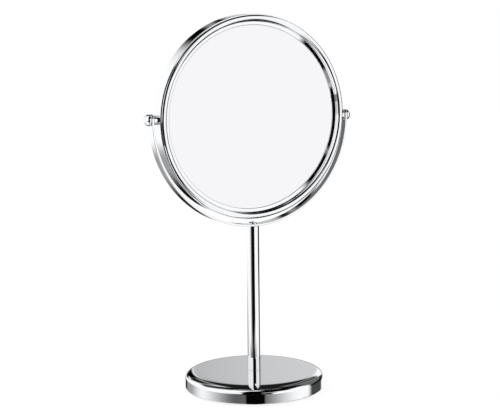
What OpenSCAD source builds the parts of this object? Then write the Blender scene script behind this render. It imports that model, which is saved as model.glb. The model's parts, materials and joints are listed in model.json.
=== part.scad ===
// Pedestal vanity mirror: a double-sided round mirror that turns over between the arms of a
// strip yoke, on one plain stem and a weighted round base. Millimetres, +Z up. The origin is
// the centre of the underside of the base. The plain glass faces -Y and the pivots lie along X.

/* [Base] */
// Diameter of the pressed cover of the base
base_d = 130; // [115:1:150]
// Height of the top of the base above the table
base_h = 15.5; // [15:0.5:18]
// How far the crown of the cover reaches in from its side
crown_w = 22; // [18:1:26]
// How far the crown of the cover falls before its side is upright
crown_h = 6.5; // [5:0.5:7]
// Thickness of the steel sheet of the cover and of its bottom plate
sheet = 1; // [0.8:0.1:1.2]
// Thickness of the soft pad that the base stands on
pad_t = 1.6; // [1:0.1:2]

/* [Stem] */
// Outside diameter of the stem
stem_d = 12; // [10:0.5:16]
// Wall of the stem's tube
stem_wall = 1; // [0.8:0.1:1.5]

/* [Yoke] */
// Height of the pivots above the table
pivot_h = 253; // [200:1:300]
// Inside radius of the bent strip
yoke_r = 98.5; // [98:0.5:106]
// Thickness of the strip
yoke_t = 2; // [1.5:0.1:2.5]
// Width of the strip
yoke_w = 10.5; // [10:0.5:14]

/* [Head] */
// How far the head leans forward as it stands, in degrees
head_tilt = 3; // [-90:1:90]
// Outside radius of the centre band
band_r = 93.8; // [93.6:0.1:94]
// Width of the centre band
band_w = 8.6; // [8.4:0.1:10]
// Outside radius of the two bezels where they leave the band
rim_r = 92.4; // [92:0.1:92.4]
// Depth of the head from the front land to the rear land
head_d = 19.2; // [18.8:0.2:20]
// Radius of both glasses
glass_r = 86; // [85.5:0.1:86]
// Thickness of the plain glass
plain_t = 3; // [2:0.5:3]
// Thickness of the magnifying glass
magnifier_t = 2; // [1.5:0.5:2]
// Radius of the sphere that the magnifying glass is bent to
magnifier_curve = 800; // [800:50:1500]

/* [Pivots] */
// Diameter of the pivot studs
stud_d = 5; // [4:0.5:5]
// Diameter of the plain posts between the head and the yoke
post_d = 8.4; // [7:0.2:8.6]
// Diameter of the domed nuts
knob_d = 10.4; // [9:0.2:12]
// Height of the domed nuts
knob_h = 4.8; // [4.5:0.1:7]

/* [Hidden] */
$fn = 96;
eps = 0.01;
running = 0.05;     // radial clearance of a stud in its bush
press = 0.02;       // radial clearance drawn for a press or glued fit

// Base: the cover's edge hangs just clear of the table, and the pad stands proud of it.
base_r = base_d / 2;
edge_gap = 0.8;
crown_steps = 16;
plate_r = base_r - sheet - 0.3;
pad_r = plate_r - 1.6;
plate_top = pad_t + sheet;
cover_top_under = base_h - sheet;
ballast_r = plate_r - 1;
ballast_chamfer = 6;
ballast_fall = 1.5;             // clearance that the weight leaves under the crown
dish_r = 14;
dish_top = 8.2;     // underside of the dished middle of the plate, where the bolt pulls
bolt_d = 6;
bolt_flats = 10;
bolt_head_h = 3.5;
washer_t = 1.4;
washer_r = 8;
spring_t = 1.4;
spring_r = 5.3;
spigot_r = 4;
spigot_clear = 0.1;

// Stem
stem_r = stem_d / 2;
bore_r = stem_r - stem_wall;
insert_h = 20;
yoke_outer_r = yoke_r + yoke_t;
stem_top = pivot_h - yoke_outer_r;

// Yoke and the screw that holds it on the stem
ear_r = yoke_w / 2;
screw_d = 5;
screw_len = 16;
screw_head_r = 4;
screw_head_h = 2;
screw_socket = 2.5;
strip_edge = 0.4;

// Pivot stack, as distances from the middle plane along X
stud_r = stud_d / 2;
bush_wall = 1;
bush_flange_r = 4.3;
bush_flange_t = 0.5;
seat_x = yoke_r;                // flat spot-faced inside each ear
post_end = seat_x - bush_flange_t - running;
washer_x = yoke_outer_r + running;
thin_washer_t = 0.5;
knob_x = washer_x + thin_washer_t;
stud_head_r = 4.2;
stud_head_t = 1.4;
skirt_t = 0.9;
stud_head_x = rim_r - skirt_t - 0.12;
thread_depth = 3.2;

// Head, as radii and as distances forward of the middle plane
land_d = head_d / 2;
band_t = band_r - rim_r - 0.1;
glass_face = 5.2;               // plane of both glasses at their edges
bevel_r = 81.3;
bevel_drop = 0.35;
seal_t = 0.5;
seal_in = 83.9;
ledge_under = glass_face + seal_t;
ledge_d = ledge_under + 0.8;
lip_r = 84.4;
step_r = 88.1;      // upright wall of the bezel's step
back_d = glass_face - plain_t;
backing_t = 0.6;
carrier_in = 76;
carrier_rim = 1.5;

function arc(cx, cy, rx, ry, from, to, n) =
    [for (i = [0 : n]) let (a = from + (to - from) * i / n) [cx + rx * cos(a), cy + ry * sin(a)]];

// Height of the glass face at a radius, with the ground bevel round its edge
function bevelled(r) = glass_face - bevel_drop * max(0, r - bevel_r) / (glass_r - bevel_r);

// Face of the bent glass, deeper in the middle than at the edge
function sag(r) = magnifier_curve - sqrt(magnifier_curve * magnifier_curve - r * r);
function hollow(r) = glass_face - (sag(glass_r) - sag(r));
bent_radii = concat([for (i = [0 : 11]) seal_in * i / 11], [glass_r]);

// Turned round Z
module turned(points) rotate_extrude() polygon(points);

// Placed in the head, with the revolve's axis to the front
module in_head() translate([0, 0, pivot_h]) rotate([head_tilt, 0, 0]) children();
module facing_front() in_head() rotate([90, 0, 0]) children();
module facing_rear() in_head() rotate([-90, 0, 0]) children();

// Along the pivot axis: right as drawn from X outward, left as its mirror image
module on_right() rotate([0, 90, 0]) children();
module on_left() mirror([1, 0, 0]) rotate([0, 90, 0]) children();

// ---- Base ----

// Cover outline at an inset from its outer face, from the bottom edge to where it is level. The
// crown is a cubic superellipse: it falls away more and more to a tight shoulder.
function cover_side(inset) = concat(
    [[base_r - inset, edge_gap]],
    [for (i = [0 : crown_steps]) let (a = 90 * i / crown_steps)
        [base_r - crown_w + (crown_w - inset) * pow(cos(a), 2 / 3),
         base_h - crown_h + (crown_h - inset) * pow(sin(a), 2 / 3)]]);
cover_inside = cover_side(sheet);

module base_shell() color("gainsboro")
    turned(concat(
        cover_side(0),
        [[spigot_r + spigot_clear, base_h], [spigot_r + spigot_clear, cover_top_under]],
        [for (i = [len(cover_inside) - 1 : -1 : 0]) cover_inside[i]]));

module ballast_disc() color("dimgray")
    turned([
        [bolt_d / 2 + 0.5, dish_top + sheet], [dish_r + sheet, dish_top + sheet],
        [dish_r + sheet, plate_top], [ballast_r, plate_top],
        [ballast_r, cover_top_under - ballast_chamfer],
        [ballast_r - ballast_chamfer, cover_top_under - ballast_fall],
        [base_r - crown_w, cover_top_under], [bolt_d / 2 + 0.5, cover_top_under]]);

// Steel plate with a dished middle, so that the bolt's head stays above the pad
module base_plate() color("silver")
    turned([
        [bolt_d / 2 + 0.3, dish_top], [dish_r - sheet, dish_top], [dish_r - sheet, plate_top - sheet],
        [plate_r, plate_top - sheet], [plate_r, plate_top], [dish_r, plate_top],
        [dish_r, dish_top + sheet], [bolt_d / 2 + 0.3, dish_top + sheet]]);

module foot_pad() color([0.12, 0.12, 0.12]) cylinder(h = pad_t, r = pad_r);

module stem_bolt() color("silver") {
    head_top = dish_top - washer_t - spring_t;
    translate([0, 0, head_top - bolt_head_h])
        cylinder(h = bolt_head_h, d = bolt_flats / cos(30), $fn = 6);
    translate([0, 0, head_top - eps])
        cylinder(h = base_h + insert_h * 0.6 - head_top, r = bolt_d / 2 - running);
}

// Split coil washer under the bolt's head
module spring_washer() color("silver")
    translate([0, 0, dish_top - washer_t - spring_t])
        difference() {
            cylinder(h = spring_t, r = spring_r);
            translate([0, 0, -1]) cylinder(h = spring_t + 2, r = bolt_d / 2 + 0.2);
            rotate([20, 0, 0]) translate([0, -0.4, -3]) cube([spring_r + 1, 0.8, spring_t + 6]);
        }

module plain_washer() color("silver")
    translate([0, 0, dish_top - washer_t])
        difference() {
            cylinder(h = washer_t, r = washer_r);
            translate([0, 0, -1]) cylinder(h = washer_t + 2, r = bolt_d / 2 + 0.3);
        }

// ---- Stem ----

// Room that the curved underside of the yoke takes out of the top of the stem
module yoke_bore() translate([0, 0, pivot_h]) rotate([90, 0, 0])
    cylinder(h = 4 * stem_d, r = yoke_outer_r + press, center = true, $fn = 240);

module stem_tube() color("gainsboro")
    difference() {
        translate([0, 0, base_h]) cylinder(h = stem_top + 1 - base_h, r = stem_r);
        translate([0, 0, base_h - 1]) cylinder(h = stem_top + 3 - base_h, r = bore_r);
        yoke_bore();
    }

// Threaded plug with a spigot that centres the stem in the cover
module lower_insert() color("silver")
    difference() {
        union() {
            translate([0, 0, cover_top_under]) cylinder(h = insert_h, r = spigot_r);
            translate([0, 0, base_h]) cylinder(h = insert_h, r = bore_r - press);
        }
        translate([0, 0, cover_top_under - 1]) cylinder(h = insert_h + 3, r = bolt_d / 2);
    }

module upper_insert() color("silver")
    difference() {
        translate([0, 0, stem_top - insert_h]) cylinder(h = insert_h + 1, r = bore_r - press);
        translate([0, 0, stem_top - insert_h - 1]) cylinder(h = insert_h + 3, r = screw_d / 2);
        yoke_bore();
    }

// ---- Yoke ----

// Outline of the strip's ends seen from the side: straight edges and a full round end
module ear_outline() translate([0, 0, pivot_h]) rotate([0, 90, 0]) {
    cylinder(h = 3 * yoke_outer_r, r = ear_r, center = true);
    translate([0, -ear_r, -1.5 * yoke_outer_r]) cube([2 * yoke_outer_r, yoke_w, 3 * yoke_outer_r]);
}

// Section of the strip, with its edges broken
module strip_section() polygon([
    [yoke_r, strip_edge - ear_r], [yoke_r + strip_edge, -ear_r],
    [yoke_outer_r - strip_edge, -ear_r], [yoke_outer_r, strip_edge - ear_r],
    [yoke_outer_r, ear_r - strip_edge], [yoke_outer_r - strip_edge, ear_r],
    [yoke_r + strip_edge, ear_r], [yoke_r, ear_r - strip_edge]]);

module yoke() color("gainsboro")
    difference() {
        intersection() {
            translate([0, 0, pivot_h]) rotate([90, 0, 0])
                rotate_extrude($fn = 240) strip_section();
            ear_outline();
        }
        // Bushed pivot holes, each with a flat seat inside the ear
        translate([0, 0, pivot_h]) on_right() {
            cylinder(h = 3 * yoke_outer_r, r = stud_r + running + bush_wall, center = true);
            cylinder(h = 2 * seat_x, r = bush_flange_r + 0.2, center = true);
        }
        // Hole and flat seat for the screw into the stem
        translate([0, 0, stem_top - 1]) cylinder(h = yoke_t + 3, r = screw_d / 2 + 0.1);
        translate([0, 0, stem_top + yoke_t]) cylinder(h = 3, r = screw_head_r + 0.3);
    }

// Low round head with a hexagon socket
module yoke_screw() color("gainsboro")
    difference() {
        union() {
            translate([0, 0, stem_top + yoke_t])
                turned(concat([[0, 0], [screw_head_r, 0]],
                    arc(0, 0.6, screw_head_r, screw_head_h - 0.6, 0, 90, 8)));
            translate([0, 0, stem_top + yoke_t - screw_len])
                cylinder(h = screw_len + eps, r = screw_d / 2 - running);
        }
        translate([0, 0, stem_top + yoke_t + 0.6])
            cylinder(h = screw_head_h, d = screw_socket / cos(30), $fn = 6);
    }

// Shouldered nylon bush pressed into an ear, its flange inside
module bush() color("ivory")
    difference() {
        union() {
            translate([0, 0, seat_x - bush_flange_t]) cylinder(h = bush_flange_t, r = bush_flange_r);
            translate([0, 0, seat_x - eps])
                cylinder(h = yoke_outer_r - seat_x, r = stud_r + running + bush_wall - press);
        }
        translate([0, 0, seat_x - 3]) cylinder(h = yoke_t + 6, r = stud_r + running);
    }

module left_bush() translate([0, 0, pivot_h]) on_left() bush();
module right_bush() translate([0, 0, pivot_h]) on_right() bush();

// ---- Head ----

// Holes that the two studs need through the band and the skirts of the bezels
module stud_holes() on_right()
    cylinder(h = 3 * band_r, r = stud_r + running, center = true);

module centre_band() color("gainsboro")
    in_head() difference() {
        rotate([90, 0, 0]) turned([
            [band_r - band_t, -band_w / 2], [band_r - 0.4, -band_w / 2], [band_r, 0.4 - band_w / 2],
            [band_r, band_w / 2 - 0.4], [band_r - 0.4, band_w / 2], [band_r - band_t, band_w / 2]]);
        stud_holes();
    }

// Pressed ring: skirt under the band, rounded rim, flat land, step and rolled lip
module bezel() turned(concat(
    [[rim_r, 0.5]],
    arc(rim_r - 0.9, land_d - 0.9, 0.9, 0.9, 0, 90, 6),
    arc(step_r + 1.4, land_d - 1.4, 1.4, 1.4, 90, 180, 8),
    arc(step_r - 0.3, ledge_d + 0.3, 0.3, 0.3, 0, -90, 3),
    arc(lip_r + 0.7, ledge_d - 0.7, 0.7, 0.7, 90, 180, 6),
    [[lip_r, ledge_under], [step_r + skirt_t, ledge_under], [step_r + skirt_t, land_d - 1.4],
     [step_r + 1.4, land_d - skirt_t], [rim_r - skirt_t - 0.3, land_d - skirt_t],
     [rim_r - skirt_t, land_d - skirt_t - 0.3], [rim_r - skirt_t, 0.5]]));

module front_bezel() color("gainsboro")
    difference() {
        facing_front() bezel();
        in_head() stud_holes();
    }

module rear_bezel() color("gainsboro")
    difference() {
        facing_rear() bezel();
        in_head() stud_holes();
    }

// Thin translucent ring between the glass and the lip
module seal(face_in, face_out) turned([
    [seal_in, face_in + eps], [glass_r, face_out + eps], [glass_r, ledge_under],
    [lip_r, ledge_under], [seal_in, ledge_under - 0.2]]);

module front_seal() color("lightgray")
    facing_front() seal(bevelled(seal_in), bevelled(glass_r));

module rear_seal() color("lightgray")
    facing_rear() seal(hollow(seal_in), hollow(glass_r));

// Flat glass, silvered behind, with a ground bevel round its face
module plain_glass() color("aliceblue")
    facing_front() turned([
        [0, back_d], [glass_r, back_d], [glass_r, bevelled(glass_r)], [bevel_r, glass_face],
        [0, glass_face]]);

// Bent glass of even thickness, concave to the rear
module magnifying_glass() color("aliceblue")
    facing_rear() turned(concat(
        [for (r = bent_radii) [r, hollow(r) - magnifier_t]],
        [for (i = [len(bent_radii) - 1 : -1 : 0]) [bent_radii[i], hollow(bent_radii[i])]]));

module backing_sheet() color("slategray")
    facing_front() translate([0, 0, back_d - backing_t])
        cylinder(h = backing_t, r = glass_r - 0.5);

// Moulded ring that centres both glasses and holds them apart
module carrier_ring() color("whitesmoke")
    facing_front() turned([
        [carrier_in, back_d - backing_t], [glass_r + 0.1, back_d - backing_t],
        [glass_r + 0.1, glass_face - 0.5], [glass_r + 0.1 + carrier_rim, glass_face - 0.5],
        [glass_r + 0.1 + carrier_rim, 0.5 - glass_face], [glass_r + 0.1, 0.5 - glass_face],
        [glass_r + 0.1, magnifier_t - glass_face + 0.05],
        [carrier_in, magnifier_t - hollow(carrier_in) + 0.05]]);

// ---- Pivots ----

// Stud with a flat head inside the drum
module pivot_stud() color("silver") {
    translate([0, 0, stud_head_x - stud_head_t]) cylinder(h = stud_head_t, r = stud_head_r);
    translate([0, 0, stud_head_x - eps])
        cylinder(h = knob_x + thread_depth - 0.2 - stud_head_x, r = stud_r);
}

module post() color("gainsboro")
    difference() {
        translate([0, 0, band_r]) turned([
            [0, 0], [post_d / 2 - 0.2, 0], [post_d / 2, 0.2],
            [post_d / 2, post_end - band_r - 0.2], [post_d / 2 - 0.2, post_end - band_r],
            [0, post_end - band_r]]);
        translate([0, 0, band_r - 1]) cylinder(h = 9, r = stud_r + press);
    }

module thin_washer() color("ivory")
    translate([0, 0, washer_x]) difference() {
        cylinder(h = thin_washer_t, r = knob_d / 2 - 0.6);
        translate([0, 0, -1]) cylinder(h = 3, r = stud_r + press);
    }

module knob() color("gainsboro")
    difference() {
        translate([0, 0, knob_x]) turned(concat(
            [[0, 0], [knob_d / 2 - 0.25, 0], [knob_d / 2, 0.25]],
            arc(0, 0.8, knob_d / 2, knob_h - 0.8, 0, 90, 12)));
        translate([0, 0, knob_x - 1]) cylinder(h = thread_depth + 1, r = stud_r + press);
    }

module left_pivot_stud() in_head() on_left() pivot_stud();
module right_pivot_stud() in_head() on_right() pivot_stud();
module left_post() in_head() on_left() post();
module right_post() in_head() on_right() post();
module left_washer() in_head() on_left() thin_washer();
module right_washer() in_head() on_right() thin_washer();
module left_knob() in_head() on_left() knob();
module right_knob() in_head() on_right() knob();

base_shell();
ballast_disc();
base_plate();
foot_pad();
stem_bolt();
spring_washer();
plain_washer();
stem_tube();
lower_insert();
upper_insert();
yoke();
yoke_screw();
left_bush();
right_bush();
centre_band();
front_bezel();
rear_bezel();
front_seal();
rear_seal();
plain_glass();
magnifying_glass();
backing_sheet();
carrier_ring();
left_pivot_stud();
right_pivot_stud();
left_post();
right_post();
left_washer();
right_washer();
left_knob();
right_knob();
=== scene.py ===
# Pedestal shaving mirror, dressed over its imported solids. Metres, +Z up, plain glass to -Y.
# The sections follow the mirror as it is put together: base, stem, yoke, head, pivots, then the
# table that it stands on, the studio round it and the camera.
import json
import math

import bmesh
import bpy
from mathutils import Matrix, Vector


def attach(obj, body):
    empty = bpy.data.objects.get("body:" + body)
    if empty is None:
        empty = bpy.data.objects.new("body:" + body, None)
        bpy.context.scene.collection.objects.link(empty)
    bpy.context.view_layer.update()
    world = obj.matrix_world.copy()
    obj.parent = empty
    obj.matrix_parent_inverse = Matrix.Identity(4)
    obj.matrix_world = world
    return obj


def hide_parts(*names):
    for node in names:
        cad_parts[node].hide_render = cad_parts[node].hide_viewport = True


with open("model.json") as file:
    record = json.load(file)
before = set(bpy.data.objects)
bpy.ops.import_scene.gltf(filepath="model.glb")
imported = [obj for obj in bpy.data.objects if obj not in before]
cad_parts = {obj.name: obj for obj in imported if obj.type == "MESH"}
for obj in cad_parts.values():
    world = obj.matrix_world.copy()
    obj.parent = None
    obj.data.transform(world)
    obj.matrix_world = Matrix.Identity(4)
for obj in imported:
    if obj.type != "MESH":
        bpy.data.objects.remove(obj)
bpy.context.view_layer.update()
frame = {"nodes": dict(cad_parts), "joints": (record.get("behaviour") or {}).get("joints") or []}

# ---- Base cover ----
# A 1 mm steel disc pressed into a shallow lid, crowned so that it falls away more and more to a
# tight shoulder, then polished, nickel plated and bright chrome plated. The stem's bolt pulls it
# down on the weight inside, and its edge hangs clear of the table, for the pad is proud of it.
MM = 0.001
COVER_RADIUS = 65
COVER_TOP = 15.5
CROWN = (22, 6.5)               # how far the crown reaches in from the side, and down
CROWN_POWER = 3
EDGE_GAP = 0.8
SHEET = 1.0
SPIGOT_HOLE = 4.1
TOP_RING = 20                   # a ring of corners that keeps the flat top's faces even
ON_AXIS = 1e-6                  # a smaller radius than this is the axis itself
MERGE_DISTANCE = 1e-7
SHARP_ANGLE = 38                # degrees: a sharper edge than this stays a corner


def arc(centre, size, start, end, steps):
    """Points on an ellipse as (radius, height), from one angle in degrees to another."""
    turn = [math.radians(start + (end - start) * i / steps) for i in range(steps + 1)]
    return [(centre[0] + size[0] * math.cos(t), centre[1] + size[1] * math.sin(t)) for t in turn]


def make_piece(name, made):
    """Turns a bmesh into a smooth object whose flats stay flat next to rounded edges."""
    bmesh.ops.remove_doubles(made, verts=made.verts, dist=MERGE_DISTANCE)
    bmesh.ops.recalc_face_normals(made, faces=made.faces)
    mesh = bpy.data.meshes.new(name)
    made.to_mesh(mesh)
    made.free()
    mesh.shade_smooth()
    mesh.set_sharp_from_angle(angle=math.radians(SHARP_ANGLE))
    piece = bpy.data.objects.new(name, mesh)
    bpy.context.scene.collection.objects.link(piece)
    return piece


def even_normals(piece):
    modifier = piece.modifiers.new("even_normals", "WEIGHTED_NORMAL")
    modifier.keep_sharp = True
    modifier.weight = 100


def turned(name, outline, place=Matrix.Identity(4), steps=288):
    """Spins a closed outline of (radius, height) points in millimetres round its own axis."""
    made = bmesh.new()
    rings = []
    for radius, height in outline:
        if radius < ON_AXIS:
            rings.append([made.verts.new(place @ Vector((0, 0, height * MM)))] * steps)
            continue
        turns = [2 * math.pi * i / steps for i in range(steps)]
        rings.append([made.verts.new(place @ Vector(
            (radius * MM * math.cos(t), radius * MM * math.sin(t), height * MM))) for t in turns])
    for low, high in zip(rings, rings[1:] + rings[:1]):
        for i in range(steps):
            j = (i + 1) % steps
            corners = list(dict.fromkeys((low[i], low[j], high[j], high[i])))
            if len(corners) > 2:
                made.faces.new(corners)
    piece = make_piece(name, made)
    even_normals(piece)
    return piece


def colour(code):
    """A colour written as sRGB hex, as the linear RGBA that a shader socket takes."""
    parts = [int(code[i:i + 2], 16) / 255 for i in (1, 3, 5)]
    return tuple(c / 12.92 if c <= 0.04045 else ((c + 0.055) / 1.055) ** 2.4 for c in parts) + (1,)


def add(tree, kind, inputs=None, **settings):
    """Adds one shader node, sets it up, and fills or links its sockets."""
    node = tree.nodes.new("ShaderNode" + kind)
    for name, value in settings.items():
        setattr(node, name, value)
    for name, value in (inputs or {}).items():
        if isinstance(value, bpy.types.NodeSocket):
            tree.links.new(value, node.inputs[name])
        else:
            node.inputs[name].default_value = value
    return node


def material_tree(name):
    material = bpy.data.materials.new(name)
    material.use_nodes = True
    material.node_tree.nodes.clear()
    return material, material.node_tree


def fit(piece, body, material, slot, *nodes):
    """Gives a piece its finish and body, and hides the solids that it stands for."""
    piece.data.materials.clear()
    piece.data.materials.append(material)
    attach(piece, body)
    if nodes:
        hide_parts(*nodes)


# Bright chrome plate: a hard, faintly cool mirror. What tells it from a perfect one is the haze
# of handling, a few wiping hairlines and the soft ripple of the polished steel under it.
HAZE_SPACING = 14 * MM
RIPPLE_SPACING = 9 * MM
HAIRLINE_SPACING = 0.9 * MM     # real ones are finer than can be shown
WIPED_ALONG = (0.5, 0.3, 0.9)   # radians: the way the polishing cloth was drawn
HAIRLINE_STRETCH = (1, 1, 0.06)
chrome, tree = material_tree("bright_chrome_plate")
place = add(tree, "TexCoord").outputs["Object"]
haze = add(tree, "TexNoise", {"Vector": place, "Scale": 1 / HAZE_SPACING, "Detail": 4.0})
along = add(tree, "Mapping", {
    "Vector": place, "Rotation": WIPED_ALONG, "Scale": HAIRLINE_STRETCH})
hairline = add(tree, "TexNoise", {
    "Vector": along.outputs[0], "Scale": 1 / HAIRLINE_SPACING, "Detail": 2.0})
scratched = add(tree, "MapRange", {
    "Value": hairline.outputs[0], "From Min": 0.64, "From Max": 0.76, "To Min": 0.0,
    "To Max": 0.03})
hazed = add(tree, "MapRange", {
    "Value": haze.outputs[0], "From Min": 0.35, "From Max": 0.75, "To Min": 0.004, "To Max": 0.02})
roughness = add(tree, "Math", {0: hazed.outputs[0], 1: scratched.outputs[0]}, operation="ADD")
ripple = add(tree, "TexNoise", {"Vector": place, "Scale": 1 / RIPPLE_SPACING, "Detail": 1.0})
bump = add(tree, "Bump", {"Height": ripple.outputs[0], "Strength": 1.0, "Distance": 0.002 * MM})
shader = add(tree, "BsdfPrincipled", {
    "Base Color": colour("#e7e8ea"), "Metallic": 1.0, "Roughness": roughness.outputs[0],
    "Normal": bump.outputs[0]})
add(tree, "OutputMaterial", {"Surface": shader.outputs[0]})


def crown(inset, steps):
    """The cover's side and crown as a flattened ellipse, from the side to where it is level."""
    reach, fall = CROWN[0] - inset, CROWN[1] - inset
    turns = [math.pi / 2 * i / steps for i in range(steps + 1)]
    return [(COVER_RADIUS - CROWN[0] + reach * abs(math.cos(t)) ** (2 / CROWN_POWER),
             COVER_TOP - CROWN[1] + fall * math.sin(t) ** (2 / CROWN_POWER)) for t in turns]


rolled = SHEET / 2              # the trimmed edge is tumbled round
cover = turned("base_cover", (
    arc((COVER_RADIUS - rolled, EDGE_GAP + rolled), (rolled, rolled), -180, 0, 10)
    + crown(0, 60)
    + [(TOP_RING, COVER_TOP), (SPIGOT_HOLE, COVER_TOP), (SPIGOT_HOLE, COVER_TOP - SHEET)]
    + crown(SHEET, 20)[::-1]), steps=360)
fit(cover, "stand", chrome, "chrome", "base_shell")

# ---- Under the cover ----
# A cast iron weight in black primer sits on a zinc plated steel plate with a dished middle. The
# M6 bolt, its split washer and its plain washer pull the stack up to the stem's plug, and a disc
# of black closed-cell foam is glued under the plate so that the base stands soft and quiet.
CASTING_GRAIN = 1.6 * MM
RUST_SPACING = 18 * MM
iron, tree = material_tree("cast_iron_black_primer")
place = add(tree, "TexCoord").outputs["Object"]
skin = add(tree, "TexNoise", {"Vector": place, "Scale": 1 / CASTING_GRAIN, "Detail": 6.0})
rusty = add(tree, "TexNoise", {"Vector": place, "Scale": 1 / RUST_SPACING, "Detail": 3.0})
tint = add(tree, "ValToRGB", {"Fac": rusty.outputs[0]})
tint.color_ramp.elements[0].position, tint.color_ramp.elements[0].color = 0.4, colour("#1b1c1e")
tint.color_ramp.elements[1].position, tint.color_ramp.elements[1].color = 0.7, colour("#2b2a29")
rough = add(tree, "MapRange", {"Value": skin.outputs[0], "To Min": 0.45, "To Max": 0.8})
bump = add(tree, "Bump", {"Height": skin.outputs[0], "Strength": 0.8, "Distance": 0.12 * MM})
shader = add(tree, "BsdfPrincipled", {
    "Base Color": tint.outputs[0], "Roughness": rough.outputs[0], "Normal": bump.outputs[0]})
add(tree, "OutputMaterial", {"Surface": shader.outputs[0]})

# Bright zinc plate: a grey, slightly blue metal with a cloudy spangle left by the plating bath.
ZINC_SPANGLE = 3 * MM
ZINC_CLOUD = 6 * MM
zinc, tree = material_tree("bright_zinc_plate")
place = add(tree, "TexCoord").outputs["Object"]
spangle = add(tree, "TexVoronoi", {"Vector": place, "Scale": 1 / ZINC_SPANGLE})
cloud = add(tree, "TexNoise", {"Vector": place, "Scale": 1 / ZINC_CLOUD, "Detail": 4.0})
tint = add(tree, "ValToRGB", {"Fac": cloud.outputs[0]})
tint.color_ramp.elements[0].position, tint.color_ramp.elements[0].color = 0.35, colour("#b9bdc4")
tint.color_ramp.elements[1].position, tint.color_ramp.elements[1].color = 0.7, colour("#d5d6d6")
rough = add(tree, "MapRange", {"Value": spangle.outputs["Color"], "To Min": 0.24, "To Max": 0.4})
bump = add(tree, "Bump", {"Height": cloud.outputs[0], "Strength": 0.3, "Distance": 0.02 * MM})
shader = add(tree, "BsdfPrincipled", {
    "Base Color": tint.outputs[0], "Metallic": 1.0, "Roughness": rough.outputs[0],
    "Normal": bump.outputs[0]})
add(tree, "OutputMaterial", {"Surface": shader.outputs[0]})

# Black closed-cell foam: dull, with a skin of tiny closed bubbles.
FOAM_CELL = 0.8 * MM
foam, tree = material_tree("black_closed_cell_foam")
place = add(tree, "TexCoord").outputs["Object"]
cells = add(tree, "TexVoronoi", {"Vector": place, "Scale": 1 / FOAM_CELL})
tint = add(tree, "ValToRGB", {"Fac": cells.outputs["Distance"]})
tint.color_ramp.elements[0].color = colour("#141415")
tint.color_ramp.elements[1].color = colour("#232325")
bump = add(tree, "Bump", {
    "Height": cells.outputs["Distance"], "Strength": 0.6, "Distance": 0.08 * MM})
shader = add(tree, "BsdfPrincipled", {
    "Base Color": tint.outputs[0], "Roughness": 0.82, "Normal": bump.outputs[0]})
add(tree, "OutputMaterial", {"Surface": shader.outputs[0]})


def refinish(node, material):
    """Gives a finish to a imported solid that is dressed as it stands."""
    solid = frame["nodes"][node]
    solid.data.materials.clear()
    solid.data.materials.append(material)


refinish("ballast_disc", iron)
for node in ("base_plate", "stem_bolt", "spring_washer", "plain_washer", "lower_insert",
             "upper_insert"):
    refinish(node, zinc)

PAD_RADIUS = 62.1
PAD_THICKNESS = 1.6
PAD_EDGE = 0.35                 # the die that stamps the foam leaves its edge a little round
pad = turned("foam_pad", (
    [(0, 0)] + arc((PAD_RADIUS - PAD_EDGE, PAD_EDGE), (PAD_EDGE, PAD_EDGE), -90, 0, 5)
    + arc((PAD_RADIUS - PAD_EDGE, PAD_THICKNESS - PAD_EDGE), (PAD_EDGE, PAD_EDGE), 0, 90, 5)
    + [(0, PAD_THICKNESS)]), steps=180)
fit(pad, "stand", foam, "pad_rubber", "foot_pad")

# ---- Stem ----
# A length of 12 mm steel tube with a 1 mm wall, polished and chromed. Its foot is square and
# stands on the cover round the plug's spigot. Its top is milled to the curve of the yoke, which
# the screw pulls down into it.
STEM_RADIUS = 6
STEM_BORE = 5
PIVOT_HEIGHT = frame["joints"][0]["pos_m"][2] / MM
YOKE_INNER = 98.5
YOKE_OUTER = 100.5
FOOT_BREAK = 0.25               # the tube's foot is faced and its corner broken
FOOT_ROUND = 0.07               # of that corner, half way round
TOP_BREAK = 0.15
TOP_ROUND = 0.05
STEM_STEPS = 128


def saddle(x):
    """Height of the yoke's curved underside at a distance from the stem's axis, in millimetres."""
    return PIVOT_HEIGHT - math.sqrt(YOKE_OUTER ** 2 - x * x)


made = bmesh.new()
levels = [
    (STEM_BORE, COVER_TOP, 0), (STEM_RADIUS - FOOT_BREAK, COVER_TOP, 0),
    (STEM_RADIUS - FOOT_ROUND, COVER_TOP + FOOT_ROUND, 0),
    (STEM_RADIUS, COVER_TOP + FOOT_BREAK, 0),
    (STEM_RADIUS, -TOP_BREAK, 1), (STEM_RADIUS - TOP_ROUND, -TOP_ROUND, 1),
    (STEM_RADIUS - TOP_BREAK, 0, 1), (STEM_BORE, 0, 1)]
rings = []
for radius, height, on_saddle in levels:
    ring = []
    for i in range(STEM_STEPS):
        turn = 2 * math.pi * i / STEM_STEPS
        x, y = radius * math.cos(turn), radius * math.sin(turn)
        z = height + saddle(x) if on_saddle else height
        ring.append(made.verts.new(Vector((x, y, z)) * MM))
    rings.append(ring)
for low, high in zip(rings, rings[1:] + rings[:1]):
    for i in range(STEM_STEPS):
        j = (i + 1) % STEM_STEPS
        made.faces.new((low[i], low[j], high[j], high[i]))
stem = make_piece("stem", made)
even_normals(stem)
fit(stem, "stand", chrome, "chrome", "stem_tube")

# ---- Yoke ----
# A strip of 10.5 by 2 mm steel with full round ends, its edges tumbled soft, polished, rolled to
# a half circle and chromed. Each end is pierced for a nylon bush, and the middle for the low
# headed screw that fixes it on the stem.
STRIP_HALF = 5.25
STRIP_EDGE = 0.4
EAR_STEPS = 20
BEND_STEPS = 180
EDGE_STEPS = 5
BUSH_HOLE = 3.57
SCREW_HOLE = 2.6
HOLE_STEPS = 64
DRILL_LENGTH = 12


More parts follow.
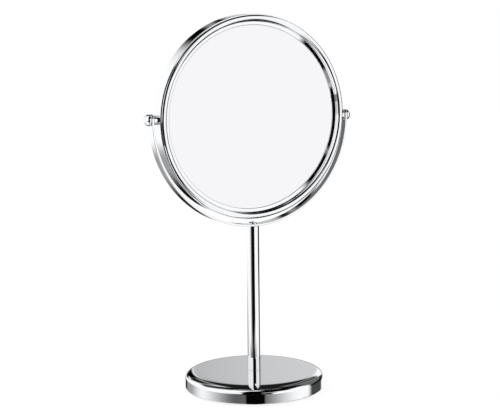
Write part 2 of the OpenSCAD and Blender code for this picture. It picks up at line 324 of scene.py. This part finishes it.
def strip_section():
    """(inset from the outline, radius of the bend) round one long edge, outer face to inner."""
    outer, inner = YOKE_OUTER - STRIP_EDGE, YOKE_INNER + STRIP_EDGE
    levels = []
    for i in range(EDGE_STEPS + 1):
        turn = math.radians(90 - 90 * i / EDGE_STEPS)
        levels.append((STRIP_EDGE * (1 - math.cos(turn)), outer + STRIP_EDGE * math.sin(turn)))
    for i in range(EDGE_STEPS + 1):
        turn = math.radians(90 * i / EDGE_STEPS)
        levels.append((STRIP_EDGE * (1 - math.cos(turn)), inner - STRIP_EDGE * math.sin(turn)))
    return levels


def strip_point(station, inset, radius, side):
    """A point of the strip at a station: an angle round an ear's end, or along the bend."""
    part, angle = station
    if part == "bend":
        return Vector((radius * math.cos(angle), side * (STRIP_HALF - inset),
                       PIVOT_HEIGHT + radius * math.sin(angle))) * MM
    across = (STRIP_HALF - inset) * math.cos(angle)
    rise = (STRIP_HALF - inset) * math.sin(angle)
    reach = math.sqrt(radius * radius - rise * rise)
    return Vector((part * reach, side * across, PIVOT_HEIGHT + rise)) * MM


stations = [(1, math.pi / 2 * (1 - i / EAR_STEPS)) for i in range(EAR_STEPS)]
stations += [("bend", -math.pi * i / BEND_STEPS) for i in range(BEND_STEPS + 1)]
stations += [(-1, math.pi / 2 * (i + 1) / EAR_STEPS) for i in range(EAR_STEPS)]
made = bmesh.new()
loops = []
for station in stations:
    section = strip_section()
    loops.append(
        [made.verts.new(strip_point(station, inset, radius, 1)) for inset, radius in section]
        + [made.verts.new(strip_point(station, inset, radius, -1))
           for inset, radius in reversed(section)])
for near, far in zip(loops, loops[1:]):
    for i in range(len(near)):
        j = (i + 1) % len(near)
        made.faces.new((near[i], near[j], far[j], far[i]))
strip = make_piece("yoke_strip", made)


def drill(piece, name, radius, direction, through):
    """Cuts a round hole through a piece, along X or Z, at a point in millimetres."""
    made = bmesh.new()
    bmesh.ops.create_cone(made, cap_ends=True, segments=HOLE_STEPS, radius1=radius * MM,
                          radius2=radius * MM, depth=DRILL_LENGTH * MM)
    turn = Matrix.Rotation(math.pi / 2, 4, "Y") if direction == "X" else Matrix.Identity(4)
    made.transform(Matrix.Translation(Vector(through) * MM) @ turn)
    cutter = make_piece(name, made)
    cut = piece.modifiers.new(name, "BOOLEAN")
    cut.operation, cut.solver, cut.object = "DIFFERENCE", "EXACT", cutter
    bpy.context.view_layer.objects.active = piece
    bpy.ops.object.modifier_apply(modifier=name)
    bpy.data.objects.remove(cutter)


for side in (-1, 1):
    drill(strip, "bush_hole", BUSH_HOLE, "X", (side * YOKE_OUTER, 0, PIVOT_HEIGHT))
drill(strip, "screw_hole", SCREW_HOLE, "Z", (0, 0, PIVOT_HEIGHT - YOKE_OUTER))
even_normals(strip)
fit(strip, "stand", chrome, "chrome", "yoke")

# ---- Yoke screw and bushes ----
# An M5 screw with a low round head and a hexagon socket, chromed like the rest, clamps the strip
# down on the stem. A flanged bush of natural nylon is pressed into each ear, flange inwards.
SCREW_HEAD = (4.0, 2.0)         # radius, and height of the dome if it were whole
RIM_BREAK = 0.15
RIM_HEIGHT = 0.6                # where the dome begins
DOME_END = 62                   # degrees of the dome, up to the socket
SCREW_SHANK = 2.45
SCREW_LENGTH = 16
HEX_ACROSS = 2.5
HEX_DEPTH = 1.4
HEX_CHAMFER = (0.12, 0.1)       # across and down
HEX_LIP = 0.02                  # how far the socket's rim stands over the dome's end
SEAT = PIVOT_HEIGHT - YOKE_INNER
HEAD_STEPS = 60
made = bmesh.new()
dome = ([(SCREW_SHANK, -SCREW_LENGTH), (SCREW_SHANK, 0), (SCREW_HEAD[0] - RIM_BREAK, 0),
         (SCREW_HEAD[0], RIM_BREAK)]
        + arc((0, RIM_HEIGHT), (SCREW_HEAD[0], SCREW_HEAD[1] - RIM_HEIGHT), 0, DOME_END, 12))
rings = []
for radius, height in dome:
    rings.append([made.verts.new(Vector((
        radius * math.cos(2 * math.pi * i / HEAD_STEPS),
        radius * math.sin(2 * math.pi * i / HEAD_STEPS), SEAT + height)) * MM)
        for i in range(HEAD_STEPS)])
rim_height = dome[-1][1]
for chamfer, height in ((HEX_CHAMFER[0], rim_height + HEX_LIP),
                        (0, rim_height - HEX_CHAMFER[1]), (0, rim_height - HEX_DEPTH)):
    ring = []
    for i in range(HEAD_STEPS):
        turn = 2 * math.pi * i / HEAD_STEPS
        folded = (turn + math.pi / 6) % (math.pi / 3) - math.pi / 6
        radius = (HEX_ACROSS / 2 + chamfer) / math.cos(folded)
        ring.append(made.verts.new(Vector((
            radius * math.cos(turn), radius * math.sin(turn), SEAT + height)) * MM))
    rings.append(ring)
for low, high in zip(rings, rings[1:]):
    for i in range(HEAD_STEPS):
        j = (i + 1) % HEAD_STEPS
        made.faces.new((low[i], low[j], high[j], high[i]))
made.faces.new(rings[0])
made.faces.new(rings[-1])
screw = make_piece("yoke_cap_screw", made)
even_normals(screw)
fit(screw, "stand", chrome, "chrome", "yoke_screw")

# Natural nylon: a milky off-white, a little waxy, with the faint texture of its mould.
MOULD_TEXTURE = 0.5 * MM
MILKY_SPACING = 3 * MM
nylon, tree = material_tree("natural_moulded_nylon")
place = add(tree, "TexCoord").outputs["Object"]
grain = add(tree, "TexNoise", {"Vector": place, "Scale": 1 / MOULD_TEXTURE, "Detail": 3.0})
milky = add(tree, "TexNoise", {"Vector": place, "Scale": 1 / MILKY_SPACING})
tint = add(tree, "ValToRGB", {"Fac": milky.outputs[0]})
tint.color_ramp.elements[0].color = colour("#dcd9cf")
tint.color_ramp.elements[1].color = colour("#e9e7df")
rough = add(tree, "MapRange", {"Value": grain.outputs[0], "To Min": 0.38, "To Max": 0.5})
bump = add(tree, "Bump", {"Height": grain.outputs[0], "Strength": 0.4, "Distance": 0.01 * MM})
shader = add(tree, "BsdfPrincipled", {
    "Base Color": tint.outputs[0], "Roughness": rough.outputs[0], "IOR": 1.53,
    "Subsurface Weight": 0.3, "Subsurface Scale": 0.6 * MM, "Normal": bump.outputs[0]})
add(tree, "OutputMaterial", {"Surface": shader.outputs[0]})

ACROSS = {side: Matrix.Translation((0, 0, PIVOT_HEIGHT * MM))
          @ Matrix.Rotation(side * math.pi / 2, 4, "Y") for side in (-1, 1)}
SIDE_NAMES = {-1: "left", 1: "right"}
BUSH_BORE = 2.55
FLANGE = (4.3, 0.5)             # radius and thickness
FLANGE_BREAK = 0.1
BUSH_LEAD = 0.12                # the lead at the end that goes in first
PRESS_GAP = 0.02
for side, hand in SIDE_NAMES.items():
    bush = turned(f"{hand}_flanged_bush", [
        (BUSH_BORE, YOKE_INNER - FLANGE[1]),
        (FLANGE[0] - FLANGE_BREAK, YOKE_INNER - FLANGE[1]),
        (FLANGE[0], YOKE_INNER - FLANGE[1] + FLANGE_BREAK), (FLANGE[0], YOKE_INNER),
        (BUSH_HOLE - PRESS_GAP, YOKE_INNER), (BUSH_HOLE - PRESS_GAP, YOKE_OUTER - BUSH_LEAD),
        (BUSH_HOLE - PRESS_GAP - BUSH_LEAD, YOKE_OUTER), (BUSH_BORE, YOKE_OUTER)],
        ACROSS[side], HOLE_STEPS)
    fit(bush, "stand", nylon, "nylon", f"{hand}_bush")

# ---- Head frame ----
# Three steel rings, chromed: a centre band 1.3 mm thick that carries the studs, and a half round
# bezel of 0.9 mm sheet pushed into it from each side until its shoulder meets the band's edge.
# Inside, each bezel drops to a ledge that slopes down to a thin lip over its glass.
HEAD_TILT = 3
BAND_RADIUS = 93.8
BAND_HALF = 7.3
BAND_INNER = 92.5
BAND_EDGE = 0.2
SKIRT_RADIUS = 92.4
SKIRT_END = 0.5                 # how near the middle of the head each skirt comes
SHOULDER_RADIUS = 93.0
SHOULDER_GAP = 0.02
CREST = (90.65, 9.6)            # the half round's top: radius, and height off the head's middle
ROUND = 3.5                     # of the half round, as it shows outside
LIP_RADIUS = 84.2
METAL = 0.9
LIP_METAL = 0.4                 # pressed thin over the glass
FILLET = 0.15
FRONT_LEDGE = 4.6
REAR_LEDGE = 6.1
LEDGE_SLOPE = 18                # it falls towards the glass
leaning = (Matrix.Translation((0, 0, PIVOT_HEIGHT * MM))
           @ Matrix.Rotation(math.radians(HEAD_TILT), 4, "X"))
to_front = leaning @ Matrix.Rotation(math.pi / 2, 4, "X")
to_rear = leaning @ Matrix.Rotation(-math.pi / 2, 4, "X")
RING_STEPS = 400

band = turned("drum_band", (
    [(BAND_INNER, -BAND_HALF)]
    + arc((BAND_RADIUS - BAND_EDGE, BAND_EDGE - BAND_HALF), (BAND_EDGE, BAND_EDGE), -90, 0, 6)
    + arc((BAND_RADIUS - BAND_EDGE, BAND_HALF - BAND_EDGE), (BAND_EDGE, BAND_EDGE), 0, 90, 6)
    + [(BAND_INNER, BAND_HALF)]), to_front, RING_STEPS)
fit(band, "head", chrome, "chrome", "centre_band")


def bezel_outline(ledge):
    """Skirt, shoulder, half round, inner wall, ledge and lip, then back along the inside."""
    middle = (CREST[0], CREST[1] - ROUND)
    shoulder = math.degrees(math.acos((SHOULDER_RADIUS - CREST[0]) / ROUND))
    wall, inside = CREST[0] - ROUND, ROUND - METAL
    foot = ledge + math.tan(math.radians(LEDGE_SLOPE)) * (wall - LIP_RADIUS - LIP_METAL)
    return (
        [(SKIRT_RADIUS, SKIRT_END), (SKIRT_RADIUS, BAND_HALF),
         (SHOULDER_RADIUS, BAND_HALF + SHOULDER_GAP)]
        + arc(middle, (ROUND, ROUND), shoulder, 180, 44)
        + arc((wall - FILLET, foot + FILLET), (FILLET, FILLET), 0, LEDGE_SLOPE - 90, 4)
        + arc((LIP_RADIUS + LIP_METAL, ledge - LIP_METAL), (LIP_METAL, LIP_METAL),
              90 + LEDGE_SLOPE, 180, 6)
        + [(LIP_RADIUS + LIP_METAL, ledge - LIP_METAL), (wall + METAL, foot - LIP_METAL)]
        + arc(middle, (inside, inside), 180, shoulder, 12)
        + [(SKIRT_RADIUS - METAL, BAND_HALF), (SKIRT_RADIUS - METAL, SKIRT_END)])


for name, node, placing, ledge in (("front_bezel_ring", "front_bezel", to_front, FRONT_LEDGE),
                                   ("rear_bezel_ring", "rear_bezel", to_rear, REAR_LEDGE)):
    bezel = turned(name, bezel_outline(ledge), placing, RING_STEPS)
    fit(bezel, "head", chrome, "chrome", node)

# ---- Glasses ----
# The front one is 1.8 mm float glass, silvered and varnished behind, with a narrow bevel ground
# round its face. The rear one is 2 mm glass sagged to a shallow dish, which magnifies. Each beds
# on a thin clear PVC ring behind the lip, against a white moulded ring inside the drum.
GLASS_RADIUS = 86
GLASS_ARRIS = 0.2
PLAIN_FACE = 4.05
DISH_EDGE = 5.2
BEVEL_RADIUS = 84.6
BEVEL_DROP = 0.2
PLAIN_THICKNESS = 1.8
DISH_THICKNESS = 2
DISH_CURVE = 800
SEAL_INNER = 83.9
SEAL_GAP = 0.01
SEAL_CHAMFER = 0.1

# Silver seen through float glass: very bright and neutral, perfectly sharp, with a second faint
# reflection off the bare face, a breath of haze and a few specks of dust.
BREATH_SPACING = 40 * MM
DUST_SPACING = 6 * MM
silvered, tree = material_tree("silvered_float_glass")
place = add(tree, "TexCoord").outputs["Object"]
breath = add(tree, "TexNoise", {"Vector": place, "Scale": 1 / BREATH_SPACING, "Detail": 3.0})
dust = add(tree, "TexVoronoi", {"Vector": place, "Scale": 1 / DUST_SPACING})
speck = add(tree, "MapRange", {
    "Value": dust.outputs["Distance"], "From Min": 0.02, "From Max": 0.05, "To Min": 0.12,
    "To Max": 0.0})
hazed = add(tree, "MapRange", {
    "Value": breath.outputs[0], "From Min": 0.4, "From Max": 0.8, "To Min": 0.0, "To Max": 0.02})
roughness = add(tree, "Math", {0: hazed.outputs[0], 1: speck.outputs[0]}, operation="ADD")
shader = add(tree, "BsdfPrincipled", {
    "Base Color": colour("#e2e1e3"), "Metallic": 1.0, "Roughness": roughness.outputs[0],
    "Coat Weight": 1.0, "Coat IOR": 1.52, "Coat Roughness": 0.0})
add(tree, "OutputMaterial", {"Surface": shader.outputs[0]})


def bevelled(radius):
    drop = max(0, radius - BEVEL_RADIUS) / (GLASS_RADIUS - BEVEL_RADIUS)
    return PLAIN_FACE - BEVEL_DROP * drop


def sag(radius):
    return DISH_CURVE - math.sqrt(DISH_CURVE ** 2 - radius * radius)


def dished(radius):
    return DISH_EDGE - sag(GLASS_RADIUS) + sag(radius)


plain_back = PLAIN_FACE - PLAIN_THICKNESS
plain = turned("plain_mirror", [
    (0, plain_back), (GLASS_RADIUS - GLASS_ARRIS, plain_back),
    (GLASS_RADIUS, plain_back + GLASS_ARRIS),
    (GLASS_RADIUS, bevelled(GLASS_RADIUS)), (BEVEL_RADIUS, PLAIN_FACE),
    (0, PLAIN_FACE)], to_front, RING_STEPS)
fit(plain, "head", silvered, "silvered_glass", "plain_glass")

DISH_RINGS = 24
dish_radii = [GLASS_RADIUS * i / DISH_RINGS for i in range(DISH_RINGS + 1)]
dish = turned("magnifying_mirror", (
    [(r, dished(r) - DISH_THICKNESS) for r in dish_radii]
    + [(r, dished(r)) for r in reversed(dish_radii)]), to_rear, RING_STEPS)
fit(dish, "head", silvered, "silvered_glass", "magnifying_glass")

# Clear soft PVC, given an opaque grey that is painted shade: it stands for the shadow in the gap
# between the lip and the glass, and reads as a thin grey line against the bright metal.
PVC_CLOUD = 2 * MM
pvc_painted_shade, tree = material_tree("clear_pvc_painted_gap_shade")
place = add(tree, "TexCoord").outputs["Object"]
cloud = add(tree, "TexNoise", {"Vector": place, "Scale": 1 / PVC_CLOUD, "Detail": 2.0})
# painted shade: these greys stand for the shadow in the gap under the lip, not the colour of clear
# PVC
tint = add(tree, "ValToRGB", {"Fac": cloud.outputs[0]})
tint.color_ramp.elements[0].color = colour("#b4b5b8")
tint.color_ramp.elements[1].color = colour("#c6c7c9")
shader = add(tree, "BsdfPrincipled", {
    "Base Color": tint.outputs[0], "Roughness": 0.3, "IOR": 1.53, "Subsurface Weight": 0.2,
    "Subsurface Scale": 0.5 * MM})
add(tree, "OutputMaterial", {"Surface": shader.outputs[0]})

for name, node, placing, face, ledge in (
        ("front_pvc_ring", "front_seal", to_front, bevelled, FRONT_LEDGE),
        ("rear_pvc_ring", "rear_seal", to_rear, dished, REAR_LEDGE)):
    under = ledge - LIP_METAL
    ring = turned(name, [
        (SEAL_INNER, face(SEAL_INNER) + SEAL_GAP),
        (GLASS_RADIUS, face(GLASS_RADIUS) + SEAL_GAP),
        (GLASS_RADIUS, under), (LIP_RADIUS, under), (SEAL_INNER, under - SEAL_CHAMFER)],
        placing, RING_STEPS)
    fit(ring, "head", pvc_painted_shade, "clear_seal", node)

# White ABS with the fine satin of a sparked mould, and a grey foam sheet behind the plain glass.
SPARK_TEXTURE = 0.6 * MM
abs_white, tree = material_tree("white_moulded_abs")
place = add(tree, "TexCoord").outputs["Object"]
spark = add(tree, "TexNoise", {"Vector": place, "Scale": 1 / SPARK_TEXTURE, "Detail": 4.0})
rough = add(tree, "MapRange", {"Value": spark.outputs[0], "To Min": 0.4, "To Max": 0.55})
bump = add(tree, "Bump", {"Height": spark.outputs[0], "Strength": 0.4, "Distance": 0.015 * MM})
shader = add(tree, "BsdfPrincipled", {
    "Base Color": colour("#e6e6e4"), "Roughness": rough.outputs[0], "IOR": 1.54,
    "Normal": bump.outputs[0]})
add(tree, "OutputMaterial", {"Surface": shader.outputs[0]})

grey_foam, tree = material_tree("grey_foam_sheet")
place = add(tree, "TexCoord").outputs["Object"]
cells = add(tree, "TexVoronoi", {"Vector": place, "Scale": 1 / FOAM_CELL})
tint = add(tree, "ValToRGB", {"Fac": cells.outputs["Distance"]})
tint.color_ramp.elements[0].color = colour("#5d6165")
tint.color_ramp.elements[1].color = colour("#70757a")
bump = add(tree, "Bump", {
    "Height": cells.outputs["Distance"], "Strength": 0.6, "Distance": 0.06 * MM})
shader = add(tree, "BsdfPrincipled", {
    "Base Color": tint.outputs[0], "Roughness": 0.85, "Normal": bump.outputs[0]})
add(tree, "OutputMaterial", {"Surface": shader.outputs[0]})

RIM_INNER = 86.1
RIM_OUTER = 87.6
RIM_FRONT = 4.1                 # stops short of the front lip
RIM_REAR = 4.7
WEB_INNER = 76
WEB_FRONT = 1.6
DISH_GAP = 0.05
under_dish = DISH_THICKNESS + DISH_GAP
moulded_ring = turned("moulded_ring", [
    (WEB_INNER, under_dish - dished(WEB_INNER)), (RIM_INNER, under_dish - dished(RIM_INNER)),
    (RIM_INNER, -RIM_REAR), (RIM_OUTER, -RIM_REAR), (RIM_OUTER, RIM_FRONT),
    (RIM_INNER, RIM_FRONT), (RIM_INNER, WEB_FRONT), (WEB_INNER, WEB_FRONT)],
    to_front, RING_STEPS)
fit(moulded_ring, "head", abs_white, "abs_white", "carrier_ring")
refinish("backing_sheet", grey_foam)

# ---- Pivots ----
# A zinc plated stud with a flat head inside the drum passes out through a plain turned post, the
# bush in the ear and a thin nylon washer, into a domed cap nut. Post and nut are turned brass,
# polished and chromed. The nut sets how stiffly the head turns.
POST_RADIUS = 4.2
POST_END = 97.95
POST_SUNK = 0.1                 # it beds a little way into the band
POST_BREAK = 0.2
STUD_HOLE = 2.52
WASHER_START = 100.55
WASHER_RADIUS = 4.6
NUT_START = 101.05
NUT_RADIUS = 5.2
NUT_HEIGHT = 4.8
NUT_EDGE = 0.25
NUT_SKIRT = 0.8                 # where its dome begins
NUT_BORE = 3.2
PIVOT_STEPS = 96
turning = {side: leaning @ Matrix.Rotation(side * math.pi / 2, 4, "Y") for side in (-1, 1)}
for side, hand in SIDE_NAMES.items():
    post = turned(f"{hand}_turned_post", (
        [(STUD_HOLE, BAND_RADIUS - POST_SUNK), (POST_RADIUS, BAND_RADIUS - POST_SUNK)]
        + arc((POST_RADIUS - POST_BREAK, POST_END - POST_BREAK), (POST_BREAK, POST_BREAK),
              0, 90, 5)
        + [(STUD_HOLE, POST_END)]), turning[side], PIVOT_STEPS)
    fit(post, "head", chrome, "chrome", f"{hand}_post")
    washer = turned(f"{hand}_thin_washer", [
        (STUD_HOLE, WASHER_START), (WASHER_RADIUS, WASHER_START),
        (WASHER_RADIUS, NUT_START), (STUD_HOLE, NUT_START)], turning[side], PIVOT_STEPS)
    fit(washer, "head", nylon, "nylon", f"{hand}_washer")
    nut = turned(f"{hand}_domed_nut", (
        [(STUD_HOLE, NUT_START), (NUT_RADIUS - NUT_EDGE, NUT_START)]
        + arc((NUT_RADIUS - NUT_EDGE, NUT_START + NUT_EDGE), (NUT_EDGE, NUT_EDGE), -90, 0, 4)
        + arc((0, NUT_START + NUT_SKIRT), (NUT_RADIUS, NUT_HEIGHT - NUT_SKIRT), 0, 90, 28)
        + [(0, NUT_START + NUT_BORE), (STUD_HOLE, NUT_START + NUT_BORE)]),
        turning[side], PIVOT_STEPS)
    fit(nut, "head", chrome, "chrome", f"{hand}_knob")
    refinish(f"{hand}_pivot_stud", zinc)

# ---- Table ----
# A plain white table top. It is lit to the same white as the wall behind it and keeps the soft
# shadow under the base. The chrome is shown the studio in its place.
FLOOR_SIZE = 12
TABLE_GRAIN = 2 * MM
TABLE_GLOW = 1.1
GLOW_SHARE = 0.7                # how much of the glow the camera sees, against the matt paint
table_top, tree = material_tree("plain_white_table")
place = add(tree, "TexCoord").outputs["Object"]
grain = add(tree, "TexNoise", {"Vector": place, "Scale": 1 / TABLE_GRAIN, "Detail": 2.0})
rough = add(tree, "MapRange", {"Value": grain.outputs[0], "To Min": 0.7, "To Max": 0.9})
matt = add(tree, "BsdfPrincipled", {
    "Base Color": colour("#fafafa"), "Roughness": rough.outputs[0], "Specular IOR Level": 0.0})
lit = add(tree, "Emission", {"Color": colour("#ffffff"), "Strength": TABLE_GLOW})
light_path = add(tree, "LightPath")
share = add(tree, "Math", {
    0: light_path.outputs["Is Camera Ray"], 1: GLOW_SHARE}, operation="MULTIPLY")
mixed = add(tree, "MixShader", {0: share.outputs[0], 1: matt.outputs[0], 2: lit.outputs[0]})
add(tree, "OutputMaterial", {"Surface": mixed.outputs[0]})

made = bmesh.new()
bmesh.ops.create_grid(made, x_segments=4, y_segments=4, size=FLOOR_SIZE / 2)
floor = make_piece("table_top", made)
floor.data.materials.append(table_top)
floor.visible_glossy = False

# ---- Studio ----
# White cloth hangs all round at some distance. The camera looks in through a dark slot, and grey
# and black cloths hang before the white to draw the edges of the metal. Only reflections show
# them: every other light is the even white of the room.
VIEW_ANGLE = 27.35
TENT_RADIUS = 3
TENT_MIDDLE = 130 * MM          # its height over the table
CHROME_REFLECTS = 0.8
CLOTH_WHITE = 0.98              # greys are sRGB values, as they look in the chrome
# Each cloth: its grey, then where it starts and ends round the tent, in degrees to the camera's
# right, and how soft those edges are, then the same in degrees above the tent's middle
CLOTHS = (
    # the white dims low down towards the camera, and behind the mirror on both sides
    (0.36, (-66, 44, 76), (-22, -15.5, 2)),
    (0.20, (-40, 0, 40), (-16, -5, 4)),
    (0.60, (-175, -112, 44), (-90, -12, 8)),
    (0.08, (-176, -150, 16), (-90, -13, 8)),
    (0.39, (104, 158, 16), (-10, 62, 10)),
    (0.27, (104, 148, 14), (-90, -8, 8)),
    (0.08, (102, 150, 8), (-12, 12, 6)),
    # the back: grey at the table's horizon, then bright and black strips, then dark above
    (0.80, (195, 218, 16), (14, 90, 8)),
    (0.30, (202, 255, 16), (38, 80, 8)),
    (0.45, (152, 206, 8), (-4, 3, 4)),
    (0.78, (168, 191, 8), (3, 21, 5)),
    (0.68, (182, 191, 14), (3, 21, 5)),
    (0.95, (155.5, 169, 3), (4, 19, 4)),
    (0.97, (189, 191, 1.5), (5, 19, 3)),
    (0.25, (199, 212, 5), (2, 13, 4)),
    (0.02, (190, 202, 3), (3, 22, 5)),
    (0.02, (192, 211, 12), (20, 37, 6)),
    (0.10, (167, 192, 7), (21, 48, 5)),
    (0.10, (146, 216, 20), (44, 76, 8)),
    (0.08, (151, 154.5, 2.5), (3, 18, 4)),
    (0.30, (156, 168, 5), (20, 44, 5)),
    # the dark corners of the ceiling and of the floor, to the right
    (0.05, (40, 160, 30), (46, 84, 8)),
    (0.03, (64, 200, 8), (-90, -38, 4)),
    (0.03, (90, 148, 8), (-38, -20, 4)),
    # the camera's slot, the boom over it and the black flags beside it
    (0.03, (-24, 72, 16), (34, 80, 8)),
    (0.03, (-24, 36, 16), (24, 40, 6)),
    (0.02, (-14, 17, 4), (-90, -15.5, 1)),
    (0.02, (-20, 13, 6), (-16, 66, 2)),
    (0.02, (10, 29, 6), (-15, 6, 3)),
    (0.02, (10, 40, 4), (-34, -20, 2)),
    (0.02, (10, 36, 6), (6, 17, 4)),
)


def cloth_edge(tree, value, start, end, soft):
    """One between two edges and nought outside them, fading across each."""
    enters = add(tree, "MapRange", {
        "Value": value, "From Min": start - soft / 2, "From Max": start + soft / 2},
        interpolation_type="SMOOTHSTEP")
    leaves = add(tree, "MapRange", {
        "Value": value, "From Min": end - soft / 2, "From Max": end + soft / 2,
        "To Min": 1.0, "To Max": 0.0}, interpolation_type="SMOOTHSTEP")
    return add(tree, "Math", {
        0: enters.outputs[0], 1: leaves.outputs[0]}, operation="MULTIPLY").outputs[0]


def grey(value):
    """A neutral sRGB grey from nought to one, as linear RGBA."""
    level = value / 12.92 if value <= 0.04045 else ((value + 0.055) / 1.055) ** 2.4
    return (level, level, level, 1)


cloth, tree = material_tree("tent_cloth")
place = add(tree, "TexCoord").outputs["Object"]
seen_from = add(tree, "VectorMath", {0: place, 1: (0, 0, TENT_MIDDLE)}, operation="SUBTRACT")
outward = add(tree, "VectorMath", {0: seen_from.outputs[0]}, operation="NORMALIZE")
upward = add(tree, "SeparateXYZ", {0: outward.outputs[0]}).outputs["Z"]
rise = add(tree, "Math", {0: upward}, operation="ARCSINE")
height = add(tree, "Math", {0: rise.outputs[0]}, operation="DEGREES").outputs[0]
azimuth = math.radians(VIEW_ANGLE)
toward = add(tree, "VectorMath", {
    0: place, 1: (-math.sin(azimuth), -math.cos(azimuth), 0)}, operation="DOT_PRODUCT")
aside = add(tree, "VectorMath", {
    0: place, 1: (math.cos(azimuth), -math.sin(azimuth), 0)}, operation="DOT_PRODUCT")
turn = add(tree, "Math", {
    0: aside.outputs["Value"], 1: toward.outputs["Value"]}, operation="ARCTAN2")
angle = add(tree, "Math", {0: turn.outputs[0]}, operation="DEGREES").outputs[0]
# The same angle counted from nought to 360, for the cloths that hang to the right and behind
around = add(tree, "Math", {0: angle, 1: 360.0, 2: 0.0}, operation="WRAP").outputs[0]
UNDER_CLOTH, OVER_CLOTH, BOTH_CLOTHS = 6, 7, 2      # a colour mixer's two inputs, its output
hung = None
for shade, (start, end, side_soft), (low, high, level_soft) in CLOTHS:
    beside = cloth_edge(tree, around if start > 0 else angle, start, end, side_soft)
    level = cloth_edge(tree, height, low, high, level_soft)
    cover = add(tree, "Math", {0: beside, 1: level}, operation="MULTIPLY")
    mixer = add(tree, "Mix", {"Factor": cover.outputs[0]}, data_type="RGBA")
    if hung is None:
        mixer.inputs[UNDER_CLOTH].default_value = grey(CLOTH_WHITE)
    else:
        tree.links.new(hung, mixer.inputs[UNDER_CLOTH])
    mixer.inputs[OVER_CLOTH].default_value = grey(shade)
    hung = mixer.outputs[BOTH_CLOTHS]
glow = add(tree, "Emission", {"Color": hung, "Strength": 1 / CHROME_REFLECTS})
add(tree, "OutputMaterial", {"Surface": glow.outputs[0]})
cloth.cycles.emission_sampling = "NONE"

tent = turned("light_tent", arc(
    (0, TENT_MIDDLE / MM), (TENT_RADIUS / MM, TENT_RADIUS / MM), -90, 90, 48), steps=96)
tent.data.materials.append(cloth)
tent.visible_camera = tent.visible_diffuse = tent.visible_transmission = False
tent.visible_shadow = tent.visible_volume_scatter = False

ROOM_LIGHT = 0.95               # of the white that the camera sees
world = bpy.data.worlds.new("white_room")
bpy.context.scene.world = world
world.use_nodes = True
world.node_tree.nodes.clear()
tree = world.node_tree
light_path = add(tree, "LightPath")
seen_white = add(tree, "Background", {"Color": colour("#ffffff"), "Strength": 1.0})
room_light = add(tree, "Background", {"Color": colour("#fcfdff"), "Strength": ROOM_LIGHT})
either = add(tree, "Math", {
    0: light_path.outputs["Is Camera Ray"], 1: light_path.outputs["Is Glossy Ray"]},
    operation="MAXIMUM")
either = add(tree, "Math", {
    0: either.outputs[0], 1: light_path.outputs["Is Transmission Ray"]}, operation="MAXIMUM")
mixed = add(tree, "MixShader", {
    0: either.outputs[0], 1: room_light.outputs[0], 2: seen_white.outputs[0]})
add(tree, "OutputWorld", {"Surface": mixed.outputs[0]})

bpy.context.scene.view_settings.view_transform = "Standard"

# ---- Camera ----
# A long lens a metre off, to the left of the glass and a little above the pivots. It looks down
# on the base, and is turned a little so that the stem stands as it should in the frame.
LENS = 79.7
CAMERA_DISTANCE = 1.0211
CAMERA_HEIGHT = 0.289
LOOK_DOWN = 6.8
LOOK_ASIDE = -0.13
ROLL = -0.65
SENSOR_WIDTH = 36
camera = bpy.data.objects.new("camera", bpy.data.cameras.new("camera"))
bpy.context.scene.collection.objects.link(camera)
camera.data.lens = LENS
camera.data.sensor_width = SENSOR_WIDTH
heading = azimuth + math.radians(LOOK_ASIDE)
camera.matrix_world = (
    Matrix.Translation((-math.sin(azimuth) * CAMERA_DISTANCE,
                        -math.cos(azimuth) * CAMERA_DISTANCE, CAMERA_HEIGHT))
    @ Matrix.Rotation(-heading, 4, "Z")
    @ Matrix.Rotation(math.pi / 2 - math.radians(LOOK_DOWN), 4, "X")
    @ Matrix.Rotation(math.radians(ROLL), 4, "Z"))
bpy.context.scene.camera = camera
